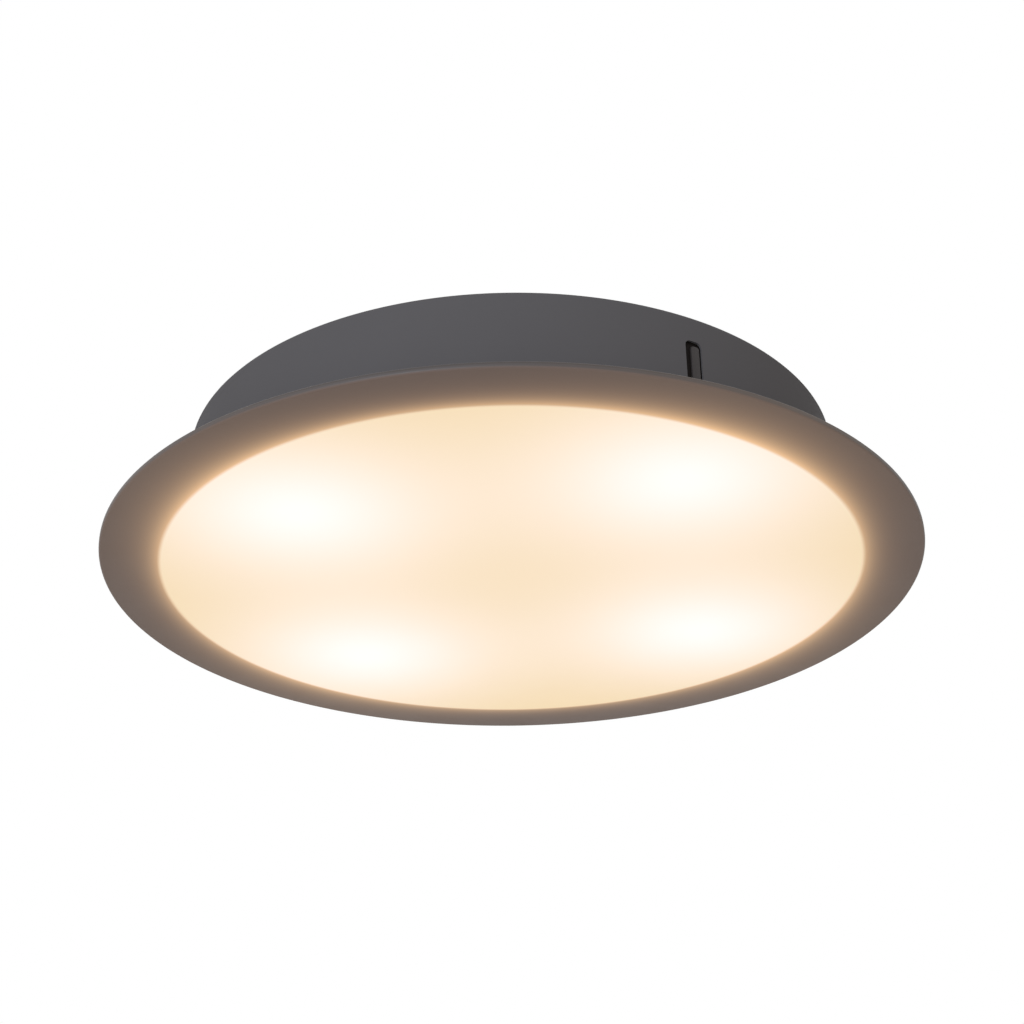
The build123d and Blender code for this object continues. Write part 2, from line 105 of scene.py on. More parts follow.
class Graph:
    """Node tree of one material, with short calls for the nodes that the finishes share."""

    def __init__(self, name: str) -> None:
        """Start a material with its one surface shader.

        Args:
            name: name of the material.
        """
        self.material = bpy.data.materials.new(name)
        self.material.use_nodes = True
        self.tree = self.material.node_tree
        self.shader = self.tree.nodes["Principled BSDF"]
        self.place = self.tree.nodes.new("ShaderNodeTexCoord").outputs["Object"]

    def feed(self, socket: bpy.types.NodeSocket, value: Source) -> None:
        """Join a socket to another one, or set it to a constant.

        Args:
            socket: input that takes the value.
            value: output socket, number, colour or vector.
        """
        if isinstance(value, bpy.types.NodeSocket):
            self.tree.links.new(value, socket)
        elif socket.type == "RGBA":
            socket.default_value = (*value, 1.0)
        else:
            socket.default_value = value

    def surface(self, **values: Source) -> None:
        """Feed the shader's sockets, named in lower case with underscores.

        Args:
            values: what each socket gets, such as base_color or roughness.
        """
        named = {socket.name.lower().replace(" ", "_"): socket for socket in self.shader.inputs}
        for name, value in values.items():
            self.feed(named[name], value)

    def maths(self, operation: str, first: Source, second: Source = 0.0) -> bpy.types.NodeSocket:
        """Work out one sum on numbers.

        Args:
            operation: name of the sum, as the node has it.
            first: first number.
            second: second number, where the sum has one.

        Returns:
            The result.
        """
        node = self.tree.nodes.new("ShaderNodeMath")
        node.operation = operation
        self.feed(node.inputs[0], first)
        self.feed(node.inputs[1], second)
        return node.outputs[0]

    def vector_maths(self, operation: str, first: Source, second: Source,
                     result: str = "Vector") -> bpy.types.NodeSocket:
        """Work out one sum on vectors.

        Args:
            operation: name of the sum, as the node has it.
            first: first vector.
            second: second vector.
            result: name of the output that is wanted.

        Returns:
            The result.
        """
        node = self.tree.nodes.new("ShaderNodeVectorMath")
        node.operation = operation
        self.feed(node.inputs[0], first)
        self.feed(node.inputs[1], second)
        return node.outputs[result]

    def noise(self, cell: float, detail: float = CLOUD_DETAIL,
              place: Optional[bpy.types.NodeSocket] = None) -> bpy.types.NodeSocket:
        """Soft noise with cells of about that size.

        Args:
            cell: size of a cell in metres.
            detail: how many finer layers it has.
            place: coordinates, the object's own if none are given.

        Returns:
            Values round one half.
        """
        node = self.tree.nodes.new("ShaderNodeTexNoise")
        self.feed(node.inputs["Vector"], place or self.place)
        node.inputs["Scale"].default_value = 1.0 / cell
        node.inputs["Detail"].default_value = detail
        return node.outputs["Fac"]

    def crystals(self, cell: float) -> bpy.types.NodeSocket:
        """Pattern of crystals in random tones.

        Args:
            cell: size of a crystal in metres.

        Returns:
            The tone of each crystal.
        """
        node = self.tree.nodes.new("ShaderNodeTexVoronoi")
        self.feed(node.inputs["Vector"], self.place)
        node.inputs["Scale"].default_value = 1.0 / cell
        return node.outputs["Color"]

    def stretched(self, scale: Vector) -> bpy.types.NodeSocket:
        """Object coordinates stretched by a factor along each axis."""
        return self.vector_maths("MULTIPLY", self.place, scale)

    def along(self, axis: Vector) -> bpy.types.NodeSocket:
        """How far along an axis each point lies."""
        return self.vector_maths("DOT_PRODUCT", self.place, axis, "Value")

    def distance(self, x: float = 0.0, y: float = 0.0) -> bpy.types.NodeSocket:
        """Distance of each point from an upright line at that place."""
        flat = self.stretched(Vector((1, 1, 0)))
        return self.vector_maths("DISTANCE", flat, Vector((x, y, 0)), "Value")

    def spread(self, value: Source, start: float, end: float, low: float = 0.0, high: float = 1.0,
               soft: bool = False) -> bpy.types.NodeSocket:
        """Map a range of values onto another one.

        Args:
            value: what is mapped.
            start: value that becomes low.
            end: value that becomes high.
            low: result at start.
            high: result at end.
            soft: ease in and out.

        Returns:
            The mapped value, kept within low and high.
        """
        node = self.tree.nodes.new("ShaderNodeMapRange")
        node.interpolation_type = "SMOOTHSTEP" if soft else "LINEAR"
        for socket, number in zip(node.inputs, (value, start, end, low, high)):
            self.feed(socket, number)
        return node.outputs["Result"]

    def uneven(self, pattern: bpy.types.NodeSocket, middle: float, swing: float) -> bpy.types.NodeSocket:
        """Number that follows a noise pattern, a little either side of its middle."""
        return self.spread(pattern, *NOISE_RANGE, middle - swing, middle + swing)

    def drifting(self, pattern: bpy.types.NodeSocket, colour: Colour, swing: float) -> bpy.types.NodeSocket:
        """Colour that follows a noise pattern, a little darker and lighter."""
        return self.tint(pattern, shaded(colour, 1 - swing), shaded(colour, 1 + swing))

    def tint(self, share: Source, first: Source, second: Source) -> bpy.types.NodeSocket:
        """Blend two colours.

        Args:
            share: how much of the second colour shows.
            first: colour at 0.
            second: colour at 1.

        Returns:
            The blended colour.
        """
        node = self.tree.nodes.new("ShaderNodeMix")
        node.data_type = "RGBA"
        colours = [socket for socket in node.inputs if socket.type == "RGBA"]
        self.feed(node.inputs[0], share)
        self.feed(colours[0], first)
        self.feed(colours[1], second)
        return next(socket for socket in node.outputs if socket.type == "RGBA")

    def bump(self, height: bpy.types.NodeSocket, depth: float, strength: float = 1.0) -> None:
        """Raise the surface by a height pattern.

        Args:
            height: pattern from 0 to 1.
            depth: how deep it is in metres.
            strength: how much of it shows.
        """
        node = self.tree.nodes.new("ShaderNodeBump")
        node.inputs["Strength"].default_value = strength
        node.inputs["Distance"].default_value = depth
        self.feed(node.inputs["Height"], height)
        self.surface(normal=node.outputs["Normal"])


def plainly_seen(tree: bpy.types.NodeTree) -> bpy.types.NodeSocket:
    """Tell apart the rays that show the background from those that light the object.

    Args:
        tree: node tree that asks.

    Returns:
        1 for what the camera sees, in gloss and through glass too, and else 0.
    """
    path = tree.nodes.new("ShaderNodeLightPath")
    seen: bpy.types.NodeSocket = path.outputs["Is Camera Ray"]
    for name in ("Is Glossy Ray", "Is Transmission Ray"):
        either = tree.nodes.new("ShaderNodeMath")
        either.operation = "MAXIMUM"
        tree.links.new(seen, either.inputs[0])
        tree.links.new(path.outputs[name], either.inputs[1])
        seen = either.outputs[0]
    return seen


def shaded(colour: Colour, factor: float) -> Colour:
    """The colour made lighter or darker by a factor."""
    return tuple(channel * factor for channel in colour)


@dataclass(frozen=True)
class Coating:
    """Paint, plastic, rubber or ceramic: a coloured surface with fine grain."""

    name: str
    colour: Colour
    roughness: float
    grain: float
    grain_depth: float
    drift: float = 0.08
    drift_size: float = 30 * MM
    gloss: float = 0.5
    roughness_swing: float = 0.05
    grain_strength: float = 0.6

    def material(self) -> bpy.types.Material:
        """Make the material.

        Returns:
            A material with drifting tone, uneven gloss and fine grain.
        """
        graph = Graph(self.name)
        cloud = graph.noise(self.drift_size)
        speck = graph.noise(self.grain, FINE_DETAIL)
        tone = graph.drifting(cloud, self.colour, self.drift)
        graph.surface(base_color=tone, specular_ior_level=self.gloss)
        graph.surface(roughness=graph.uneven(cloud, self.roughness, self.roughness_swing))
        graph.bump(speck, self.grain_depth, self.grain_strength)
        return graph.material


@dataclass(frozen=True)
class Metal:
    """Bare metal with fine drawn lines, or with crystals where it is galvanised."""

    name: str
    colour: Colour
    roughness: float
    drawn_along: tuple[float, float, float] = (1.0, 1.0, 0.06)
    line: float = 0.4 * MM
    line_depth: float = 0.03 * MM
    line_strength: float = 0.4
    crystal: float = 0.0
    shade: float = 0.82
    shine: float = 1.08
    smoother: float = 0.07
    rougher: float = 0.09

    def material(self) -> bpy.types.Material:
        """Make the material.

        Returns:
            A metallic material with its lines or crystals in tone, gloss and height.
        """
        graph = Graph(self.name)
        lines = graph.noise(self.line, LINE_DETAIL, graph.stretched(Vector(self.drawn_along)))
        pattern = graph.crystals(self.crystal) if self.crystal else lines
        tone = graph.tint(pattern, shaded(self.colour, self.shade), shaded(self.colour, self.shine))
        graph.surface(base_color=tone, metallic=1.0)
        graph.surface(roughness=graph.spread(pattern, *METAL_RANGE, self.roughness - self.smoother,
                                             self.roughness + self.rougher))
        graph.bump(lines, self.line_depth, self.line_strength)
        return graph.material


@dataclass(frozen=True)
class StripedInsulation:
    """Lead insulation in two colours, split along the lead."""

    name: str
    first: Colour
    second: Colour
    split_at: float = 0.25 * MM
    blur: float = 0.05 * MM
    grain: float = 0.5 * MM
    grain_depth: float = 0.02 * MM
    grain_strength: float = 0.5
    roughness: float = 0.44
    roughness_swing: float = 0.06

    def material(self) -> bpy.types.Material:
        """Make the material.

        Returns:
            A satin material that changes colour across the lead.
        """
        graph = Graph(self.name)
        across = graph.along(Vector((1, 0, 0)))
        stripe = graph.spread(across, self.split_at - self.blur, self.split_at + self.blur)
        speck = graph.noise(self.grain)
        graph.surface(base_color=graph.tint(stripe, self.first, self.second))
        graph.surface(roughness=graph.uneven(speck, self.roughness, self.roughness_swing))
        graph.bump(speck, self.grain_depth, self.grain_strength)
        return graph.material


@dataclass(frozen=True)
class LitGlass:
    """Opal glass with painted light: a glow painted on inside a circle, brightest over each lamp, dimming
    outside it, in place of the lamps' light through the glass.
    """

    name: str
    lit_radius: float
    rim_radius: float
    low: float
    spots: tuple[tuple[float, float], ...]
    # Painted light: glow colours of the lit field, of the spots over the lamps and of the rim beyond the lit
    # circle.
    field_glow: Colour = (0.591, 0.43, 0.201)
    spot_glow: Colour = (0.835, 0.747, 0.753)
    edge_glow: Colour = (0.80, 0.487, 0.235)
    field_colour: Colour = (0.42, 0.37, 0.30)
    rim_colour: Colour = (0.179, 0.126, 0.105)
    outer_colour: Colour = (0.163, 0.118, 0.099)
    edge_shade_colour: Colour = (0.071, 0.062, 0.061)
    # Painted light: each painted spot is moved off its lamp by these amounts.
    spot_moves: tuple[tuple[float, float], ...] = (
        (-1.8 * MM, -12.8 * MM), (-5.5 * MM, -11.5 * MM), (3.1 * MM, -4.7 * MM), (2.5 * MM, -5.1 * MM))
    spot_size: float = 67.6 * MM
    spot_power: float = 1.686
    fade: float = 4.5 * MM
    spot_fade: float = 16.3 * MM
    border: float = 2.6 * MM
    overlap: float = 0.95 * MM
    lit_centre: tuple[float, float] = (-0.2 * MM, 0.9 * MM)
    edge_between: float = 0.49
    edge_by_spot: float = 0.632
    # Painted shade on the disc's outer edge band and on its upper rounding.
    edge_rise: float = 0.8 * MM
    edge_start: float = 1.2 * MM
    edge_end: float = 0.8 * MM
    arris_start: float = 1.4 * MM
    arris_end: float = 2.8 * MM
    arris_shade: float = 0.6
    cloud_size: float = 25 * MM
    cloud_swing: float = 0.05
    roughness: float = 0.45
    roughness_swing: float = 0.03
    gloss: float = 0.29
    grain: float = 0.7 * MM
    grain_depth: float = 0.01 * MM
    grain_strength: float = 0.25

    def spot_light(self, graph: Graph) -> bpy.types.NodeSocket:
        """Painted light over the lamps, each spot a little aside from its lamp, as the photograph has it.

        Args:
            graph: material that is being made.

        Returns:
            About 1 over each lamp, falling off round it.
        """
        total: Source = 0.0
        for (x, y), (right, back) in zip(self.spots, self.spot_moves):
            away = graph.distance(x + right, y + back)
            fall = graph.maths("POWER", graph.maths("DIVIDE", away, self.spot_size), self.spot_power)
            total = graph.maths("ADD", total, graph.maths("EXPONENT", graph.maths("MULTIPLY", fall, -1.0)))
        return total

    def material(self) -> bpy.types.Material:
        """Make the material.

        Returns:
            A glowing satin glass with a dim rim.
        """
        graph = Graph(self.name)
        radius = graph.distance()
        height = graph.along(Vector((0, 0, 1)))
        dark = self.lit_radius + self.overlap
        lit = graph.spread(graph.distance(*self.lit_centre), dark, dark - self.border, soft=True)
        # Painted glow on the rim beyond the lit circle, fading outward and stronger near each spot.
        beyond = graph.maths("MAXIMUM", graph.maths("SUBTRACT", radius, self.lit_radius), 0.0)
        fading = graph.maths("EXPONENT", graph.maths("DIVIDE", beyond, -self.fade))
        reaching = graph.maths("EXPONENT", graph.maths("DIVIDE", beyond, -self.spot_fade))
        spots = self.spot_light(graph)
        by_spot = graph.maths("MULTIPLY", graph.maths("MULTIPLY", reaching, spots), self.edge_by_spot)
        share = graph.maths("ADD", graph.maths("MULTIPLY", fading, self.edge_between), by_spot)
        ring = graph.tint(share, BLACK, self.edge_glow)
        field = graph.tint(spots, self.field_glow, self.spot_glow)
        cloud = graph.noise(self.cloud_size)
        # Painted shade: the disc's outer edge band is darker than the rim, and darker still toward its top
        # next to the drum.
        raised = graph.spread(height, self.low, self.low + self.edge_rise)
        outermost = graph.spread(radius, self.rim_radius - self.edge_start, self.rim_radius - self.edge_end)
        edge = graph.maths("MULTIPLY", raised, outermost)
        outward = graph.spread(radius, self.lit_radius, self.rim_radius, soft=True)
        rim = graph.drifting(cloud, self.rim_colour, self.cloud_swing)
        rim = graph.tint(outward, rim, self.outer_colour)
        upper = graph.spread(height, self.low + self.arris_start, self.low + self.arris_end)
        shade = graph.tint(upper, self.edge_shade_colour, shaded(self.edge_shade_colour, self.arris_shade))
        rim = graph.tint(edge, rim, shade)
        graph.surface(base_color=graph.tint(lit, rim, self.field_colour))
        # Painted light: the glow is emission on the glass, not the lamps' light passing through it.
        graph.surface(emission_color=graph.tint(lit, ring, field), emission_strength=1.0)
        graph.surface(roughness=graph.uneven(cloud, self.roughness, self.roughness_swing))
        graph.surface(specular_ior_level=self.gloss)
        graph.bump(graph.noise(self.grain, FINE_DETAIL), self.grain_depth, self.grain_strength)
        return graph.material


@dataclass(frozen=True)
class LampGlow:
    """Frosted lamp cover with the light on behind it."""

    name: str
    colour: Colour = (0.90, 0.86, 0.78)
    glow: Colour = (1.0, 0.86, 0.66)
    strength: float = 2.2
    shade: float = 0.94
    glow_shade: float = 0.9
    cloud_size: float = 9 * MM
    frost_size: float = 0.35 * MM
    frost_depth: float = 0.01 * MM
    frost_strength: float = 0.4
    roughness: float = 0.56
    roughness_swing: float = 0.06

    def material(self) -> bpy.types.Material:
        """Make the material.

        Returns:
            A frosted, glowing material, a little uneven.
        """
        graph = Graph(self.name)
        cloud = graph.noise(self.cloud_size)
        frost = graph.noise(self.frost_size, FINE_DETAIL)
        graph.surface(base_color=graph.tint(cloud, shaded(self.colour, self.shade), self.colour))
        graph.surface(emission_color=graph.tint(cloud, shaded(self.glow, self.glow_shade), self.glow))
        graph.surface(emission_strength=self.strength)
        graph.surface(roughness=graph.uneven(frost, self.roughness, self.roughness_swing))
        graph.bump(frost, self.frost_depth, self.frost_strength)
        return graph.material


@dataclass(frozen=True)
class PaleFloor:
    """Plain floor that runs out into the white background well away from the object."""

    name: str
    colour: Colour = (0.80, 0.80, 0.79)
    roughness: float = 0.85
    gloss: float = 0.1
    fade_start: float = 3.0
    fade_end: float = 8.0

    def material(self) -> bpy.types.Material:
        """Make the material.

        Returns:
            A matt material, white in the distance.
        """
        graph = Graph(self.name)
        distant = graph.spread(graph.distance(), self.fade_start, self.fade_end, soft=True)
        share = graph.maths("MULTIPLY", distant, plainly_seen(graph.tree))
        graph.surface(base_color=graph.tint(share, self.colour, BLACK))
        graph.surface(emission_color=WHITE, emission_strength=share)
        graph.surface(roughness=self.roughness, specular_ior_level=self.gloss)
        graph.material.cycles.emission_sampling = "NONE"
        return graph.material


Finish = Union[Coating, Metal, StripedInsulation, LitGlass, LampGlow, PaleFloor]
DRUM_PAINT = Coating(
    "grey powder coat", (0.097, 0.093, 0.096), roughness=0.6, grain=0.5 * MM, grain_depth=0.03 * MM,
    drift=0.03, drift_size=45 * MM, gloss=0.01)
INNER_PAINT = Coating(
    "white inner coat", (0.80, 0.79, 0.76), roughness=0.5, grain=0.7 * MM, grain_depth=0.03 * MM, drift=0.03,
    drift_size=60 * MM)
WHITE_PAINT = Coating(
    "white ring paint", (0.72, 0.71, 0.68), roughness=0.42, grain=0.8 * MM, grain_depth=0.03 * MM, drift=0.04)
CLEAR_BOND = Coating(
    "clear bond", (0.62, 0.61, 0.58), roughness=0.22, grain=1.5 * MM, grain_depth=0.1 * MM, drift=0.08,
    drift_size=14 * MM)
GREY_FOAM = Coating(
    "grey foam", (0.08, 0.08, 0.082), roughness=0.92, grain=0.6 * MM, grain_depth=0.25 * MM, drift=0.2,
    drift_size=4 * MM, gloss=0.2)
BLACK_RUBBER = Coating(
    "black rubber", (0.018, 0.018, 0.019), roughness=0.62, grain=0.8 * MM, grain_depth=0.05 * MM, drift=0.15,
    drift_size=8 * MM, gloss=0.4)
CERAMIC = Coating(
    "lampholder ceramic", (0.74, 0.70, 0.61), roughness=0.55, grain=0.6 * MM, grain_depth=0.06 * MM,
    drift=0.06, drift_size=9 * MM)
BASE_PLASTIC = Coating(
    "lamp base plastic", (0.78, 0.77, 0.74), roughness=0.36, grain=0.5 * MM, grain_depth=0.02 * MM,
    drift=0.03, drift_size=10 * MM)
BLOCK_PLASTIC = Coating(
    "terminal plastic", (0.70, 0.68, 0.62), roughness=0.48, grain=0.6 * MM, grain_depth=0.04 * MM, drift=0.05,
    drift_size=12 * MM)
BOARD_MASK = Coating(
    "white board mask", (0.76, 0.76, 0.74), roughness=0.4, grain=0.9 * MM, grain_depth=0.02 * MM, drift=0.05,
    drift_size=5 * MM)
LIVE_SLEEVE = Coating(
    "brown insulation", (0.09, 0.036, 0.016), roughness=0.42, grain=0.5 * MM, grain_depth=0.02 * MM,
    drift=0.12, drift_size=9 * MM)
NEUTRAL_SLEEVE = Coating(
    "blue insulation", (0.012, 0.062, 0.22), roughness=0.42, grain=0.5 * MM, grain_depth=0.02 * MM,
    drift=0.12, drift_size=9 * MM)
EARTH_SLEEVE = StripedInsulation("green and yellow insulation", (0.05, 0.20, 0.03), (0.66, 0.50, 0.03))
GALVANISED = Metal("galvanised sheet", (0.56, 0.57, 0.58), roughness=0.36, crystal=5 * MM)
ZINC = Metal("zinc plated fastener", (0.60, 0.60, 0.57), roughness=0.3)
BRASS = Metal("contact brass", (0.62, 0.44, 0.17), roughness=0.28)
PIN_STEEL = Metal("bright pin", (0.66, 0.66, 0.66), roughness=0.2)
# Painted light and shade: the blade's near-black is partly its own black and partly painted shade in the
# slot, and the rib of the same steel is lighter as painted light.
BLADE_STEEL = Coating(
    "black spring steel with painted shade", (0.008, 0.006, 0.005), roughness=0.6, grain=0.4 * MM, grain_depth=0.03 * MM,
    drift=0.2, drift_size=6 * MM, gloss=0.08)
LIT_RIB_STEEL = Coating(
    "spring steel with painted light", (0.034, 0.029, 0.028), roughness=0.45, grain=0.4 * MM, grain_depth=0.03 * MM,
    drift=0.12, drift_size=5 * MM, gloss=0.25)
PALE_FLOOR = PaleFloor("pale floor")

MADE: dict[str, bpy.types.Material] = {}


def material_of(finish: Finish) -> bpy.types.Material:
    """Material of a finish, made the first time that it is asked for.

    Args:
        finish: finish that is wanted.

    Returns:
        The one material of that finish.
    """
    if finish.name not in MADE:
        MADE[finish.name] = finish.material()
    return MADE[finish.name]


def dress_node(node: str, finish: Finish) -> None:
    """Give a carried-over solid its finish.

    Args:
        node: name of the solid's node.
        finish: finish that it gets.
    """
    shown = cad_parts[node]
    if not shown.material_slots:
        shown.data.materials.append(None)
    for place in shown.material_slots:
        place.material = material_of(finish)
    LOG.info("dressed %s", node)


def softened(mesh: bmesh.types.BMesh, parts: list[Corner], reach: float, steps: int,
             affect: str = "EDGES") -> None:
    """Round off some corner points or edges of a mesh.

    Args:
        mesh: mesh that is changed in place.
        parts: its corner points or edges.
        reach: distance that they are rounded over.
        steps: how many steps the rounding has.
        affect: EDGES, or VERTICES for corner points.
    """
    bmesh.ops.bevel(mesh, geom=parts, offset=reach, offset_type="OFFSET", segments=steps,
                    profile=ROUND_PROFILE, affect=affect, material=KEEP_MATERIAL)


def drawn(outline: Outline, rounds: Sequence[float] = (), closed: bool = False) -> bmesh.types.BMesh:
    """Draw an outline of radius and height points as a line of edges.

    Args:
        outline: corner points.
        rounds: distance that each corner is rounded over, 0 for a sharp one.
        closed: join the last point to the first.

    Returns:
        The line, ready to be spun.
    """
    mesh = bmesh.new()
    corners = [mesh.verts.new((radius, 0.0, height)) for radius, height in outline]
    followers = corners[1:] + corners[:1] if closed else corners[1:]
    for corner, follower in zip(corners, followers):
        mesh.edges.new((corner, follower))
    for corner, reach in zip(corners, rounds):
        if reach:
            softened(mesh, [corner], reach, BEND_STEPS, "VERTICES")
    return mesh


def spun(line: bmesh.types.BMesh, steps: int = RING_STEPS) -> bmesh.types.BMesh:
    """Spin a line once round the Z axis.

    Args:
        line: line that is spun, changed in place.
        steps: how many steps the round has.

    Returns:
        The same mesh, closed and facing outwards.
    """
    bmesh.ops.spin(line, geom=line.verts[:] + line.edges[:], axis=(0, 0, 1), cent=(0, 0, 0),
                   angle=math.tau, steps=steps, use_merge=True)
    bmesh.ops.remove_doubles(line, verts=line.verts, dist=MERGE)
    bmesh.ops.recalc_face_normals(line, faces=line.faces)
    return line


def ring_section(inner: float, outer: float, low: float, high: float, edge: float) -> bmesh.types.BMesh:
    """Flat ring with rounded edges.

    Args:
        inner: inner radius.
        outer: outer radius.
        low: level of its lower face.
        high: level of its upper face.
        edge: rounding of its four edges.

    Returns:
        The closed ring.
    """
    corners = [(inner, low), (outer, low), (outer, high), (inner, high)]
    return spun(drawn(corners, [edge] * len(corners), closed=True))


def moved(mesh: bmesh.types.BMesh, place: Matrix) -> bmesh.types.BMesh:
    """The mesh with its place applied to its points."""
    bmesh.ops.transform(mesh, matrix=place, verts=mesh.verts)
    return mesh


def joined(meshes: Iterable[bmesh.types.BMesh]) -> bmesh.types.BMesh:
    """Put several meshes into one.

    Args:
        meshes: meshes that are used up.

    Returns:
        One mesh with all their faces.
    """
    whole = bmesh.new()
    for mesh in meshes:
        passing = bpy.data.meshes.new("passing")
        mesh.to_mesh(passing)
        mesh.free()
        whole.from_mesh(passing)
        bpy.data.meshes.remove(passing)
    return whole


def cylinder(radius: float, low: float, high: float, edge: float = 0.0,
             steps: int = SMALL_STEPS) -> bmesh.types.BMesh:
    """Round bar along Z.

    Args:
        radius: its radius.
        low: level of its lower end.
        high: level of its upper end.
        edge: rounding of its two end edges.
        steps: how many steps its round has.

    Returns:
        The closed bar.
    """
    return spun(drawn([(0.0, low), (radius, low), (radius, high), (0.0, high)], [0, edge, edge, 0]), steps)


def paired(spacing: float, radius: float, low: float, high: float, edge: float = 0.0) -> bmesh.types.BMesh:
    """Two like round bars along Z, side by side in x.

    Args:
        spacing: distance between their middles.
        radius: their radius.
        low: level of their lower ends.
        high: level of their upper ends.
        edge: rounding of their end edges.

    Returns:
        Both bars in one mesh.
    """
    return joined(moved(cylinder(radius, low, high, edge, PIN_STEPS), Matrix.Translation((x, 0, 0)))
                  for x in (-spacing / 2, spacing / 2))


def creased(data: bpy.types.Mesh, angle: float = CREASE) -> None:
    """Shade a mesh smooth, with sharp edges above an angle in degrees."""
    data.shade_smooth()
    data.set_sharp_from_angle(angle=math.radians(angle))


def rounded_strip(width: float, low: float, high: float, inner: float, outer: float,
                  corner: float) -> bmesh.types.BMesh:
    """Upright strip with rounded upper corners: x sideways, y up, z outward.

    Args:
        width: its width.
        low: level of its foot.
        high: level of its top.
        inner: distance of its back from the axis.
        outer: distance of its front from the axis.
        corner: rounding of its two upper corners.

    Returns:
        The closed strip.
    """
    mesh = bmesh.new()
    bmesh.ops.create_cube(mesh, size=1.0)
    bmesh.ops.scale(mesh, vec=(width, high - low, outer - inner), verts=mesh.verts)
    bmesh.ops.translate(mesh, vec=(0, (high + low) / 2, (outer + inner) / 2), verts=mesh.verts)
    corners = [edge for edge in mesh.edges if all(abs(end.co.y - high) < MERGE for end in edge.verts)
               and abs(edge.verts[0].co.x - edge.verts[1].co.x) < MERGE]
    softened(mesh, corners, corner, CORNER_STEPS)
    return mesh


def as_object(mesh: bmesh.types.BMesh, name: str, finishes: Sequence[Finish],
              crease: float = CREASE) -> bpy.types.Object:
    """Turn a finished mesh into an object in the scene.

    Args:
        mesh: mesh that is used up.
        name: name of the piece.
        finishes: its finishes, in the order of its faces' material numbers.
        crease: angle in degrees above which an edge looks sharp.

    Returns:
        The object, at the origin.
    """
    data = bpy.data.meshes.new(name)
    mesh.to_mesh(data)
    mesh.free()
    for finish in finishes:
        data.materials.append(material_of(finish))
    creased(data, crease)
    made = bpy.data.objects.new(name, data)
    bpy.context.scene.collection.objects.link(made)
    return made


def fitted(piece: bpy.types.Object, body: str, slot: Slot, *nodes: str) -> bpy.types.Object:
    """Set a piece on its body in place of the solids that it stands for.

    Args:
        piece: finished piece.
        body: name of the body that carries it.
        slot: finish slot in the record; not used.
        nodes: solids that it replaces.

    Returns:
        The same piece.
    """
    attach(piece, body)
    if nodes:
        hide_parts(*nodes)
    LOG.info("built %s on %s: %d faces", piece.name, body, len(piece.data.polygons))
    return piece


def cut_out(piece: bpy.types.Object, tool: bmesh.types.BMesh) -> None:
    """Cut a tool's shape out of a piece.

    Args:
        piece: piece that is cut.
        tool: closed shape that is used up.
    """
    cutter = as_object(tool, piece.name + "_cutter", [])
    change = piece.modifiers.new("cut", "BOOLEAN")
    change.operation = "DIFFERENCE"
    change.solver = "EXACT"
    change.object = cutter
    result = bpy.data.meshes.new_from_object(
        piece.evaluated_get(bpy.context.evaluated_depsgraph_get()))
    piece.modifiers.clear()
    piece.data = result
    creased(result)
    bpy.data.objects.remove(cutter)


def turned(angle: float) -> Matrix:
    """Turn about the Z axis by an angle in degrees."""
    return Matrix.Rotation(math.radians(angle), 4, "Z")


def at_angle(radius: float, angle: float) -> tuple[float, float]:
    """Point at a radius and an angle in degrees, seen along Z."""
    turn = math.radians(angle)
    return radius * math.cos(turn), radius * math.sin(turn)


